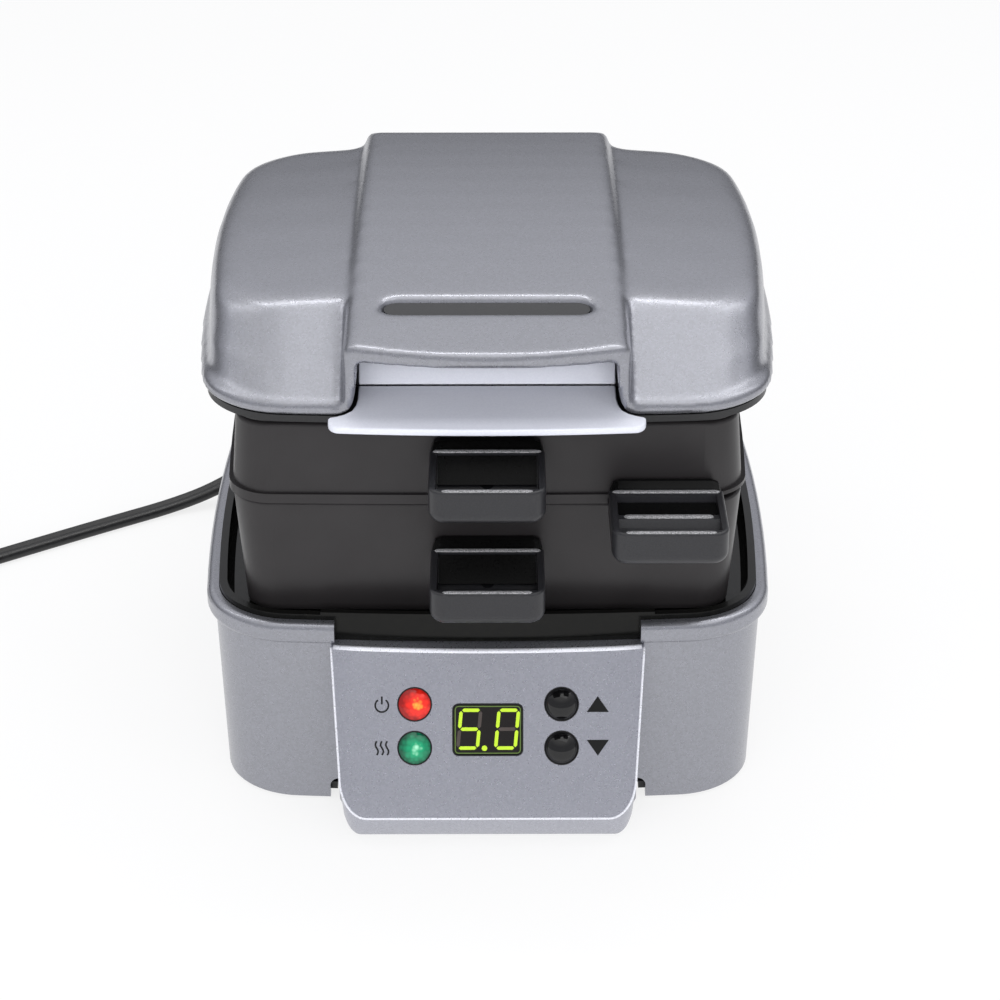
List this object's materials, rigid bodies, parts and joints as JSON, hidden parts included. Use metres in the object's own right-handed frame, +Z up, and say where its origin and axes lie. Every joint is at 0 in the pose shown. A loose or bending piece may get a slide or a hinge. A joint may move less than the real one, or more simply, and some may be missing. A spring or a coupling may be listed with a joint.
{
  "type": "breakfast sandwich maker",
  "caption": "Electric breakfast sandwich maker: base with timer panel, two hinged cooking rings with a swing-out plate between them, and a hinged lid with an upper plate.",
  "frame": {"origin": "on the floor, under the middle of the object's width and depth, without its cord", "axes": "+Z up, +Y from the front panel towards the hinge, +X to the right seen from the front"},
  "size_m": [0.3523, 0.2542, 0.155],
  "materials": {
    "silver_paint": "metallic silver paint on moulded plastic, satin",
    "bright_silver": "bare bright aluminium, fine satin",
    "black_plastic": "black moulded plastic, fine texture",
    "ring_coat": "charcoal non-stick coat on cast aluminium, satin",
    "nonstick": "dark non-stick coat",
    "steel": "plated steel",
    "rubber": "matt rubber",
    "cord_jacket": "flexible black jacket",
    "red_lens": "clear red lens",
    "green_lens": "clear green lens",
    "smoked_window": "smoked glossy window",
    "gloss_black": "glossy black",
    "board_green": "solder mask",
    "brass": "plug blades"
  },
  "bodies": {
    "base": {"base_shell": "silver_paint", "base_tray": "black_plastic", "hinge_housing": "black_plastic", "hinge_pin": "steel", "bottom_cover": "black_plastic", "rubber_feet": "rubber", "cover_screws": "steel", "lower_heating_plate": "nonstick", "lower_heating_element": "steel", "heat_shield": "steel", "lower_plate_screws": "steel", "thermostat": "steel", "front_panel": "silver_paint", "power_lens": "red_lens", "ready_lens": "green_lens", "display_window": "smoked_window", "display_module": "gloss_black", "circuit_board": "board_green", "board_screws": "steel", "button_switches": "gloss_black", "up_button_spring": "steel", "down_button_spring": "steel", "cord_bushing": "rubber", "power_cord": "cord_jacket", "cord_coil": "cord_jacket", "cord_tie": "gloss_black", "plug_body": "cord_jacket", "plug_blades": "brass"},
    "up_button": {"up_button": "gloss_black"},
    "down_button": {"down_button": "gloss_black"},
    "lower_ring": {"lower_ring": "ring_coat", "lower_ring_handle": "black_plastic", "lower_ring_handle_screw": "steel"},
    "upper_ring": {"upper_ring": "ring_coat", "upper_ring_handle": "black_plastic", "upper_ring_handle_screw": "steel", "plate_pivot_pin": "steel"},
    "cooking_plate": {"cooking_plate": "nonstick", "plate_handle": "black_plastic", "plate_rivets": "steel"},
    "lid": {"lid_cover": "silver_paint", "lid_liner": "black_plastic", "lid_screws": "steel", "lid_tab": "bright_silver", "tab_screws": "steel", "upper_heating_plate": "nonstick", "upper_heating_element": "steel", "upper_plate_screws": "steel"}
  },
  "joints": [
    {"name": "lower_ring_hinge", "type": "hinge", "parent": "base", "child": "lower_ring", "pos_m": [0, 0.09085, 0.098], "axis": [1, 0, 0], "range_deg": [-45, 0]},
    {"name": "upper_ring_hinge", "type": "hinge", "parent": "lower_ring", "child": "upper_ring", "pos_m": [0, 0.09085, 0.098], "axis": [1, 0, 0], "range_deg": [-55, 0]},
    {"name": "lid_hinge", "type": "hinge", "parent": "upper_ring", "child": "lid", "pos_m": [0, 0.09085, 0.098], "axis": [-1, 0, 0], "range_deg": [0, 100]},
    {"name": "plate_swing", "type": "hinge", "parent": "upper_ring", "child": "cooking_plate", "pos_m": [0.05, 0.04085, 0.097], "axis": [0, 0, 1], "range_deg": [0, 88]},
    {"name": "up_button_press", "type": "slide", "parent": "base", "child": "up_button", "axis": [0, 0.9004, -0.435], "range_m": [0, 0.0009], "stiffness_N_per_m": 300, "deforming": ["up_button_spring"]},
    {"name": "down_button_press", "type": "slide", "parent": "base", "child": "down_button", "axis": [0, 0.9004, -0.435], "range_m": [0, 0.0009], "stiffness_N_per_m": 300, "deforming": ["down_button_spring"]}
  ]
}
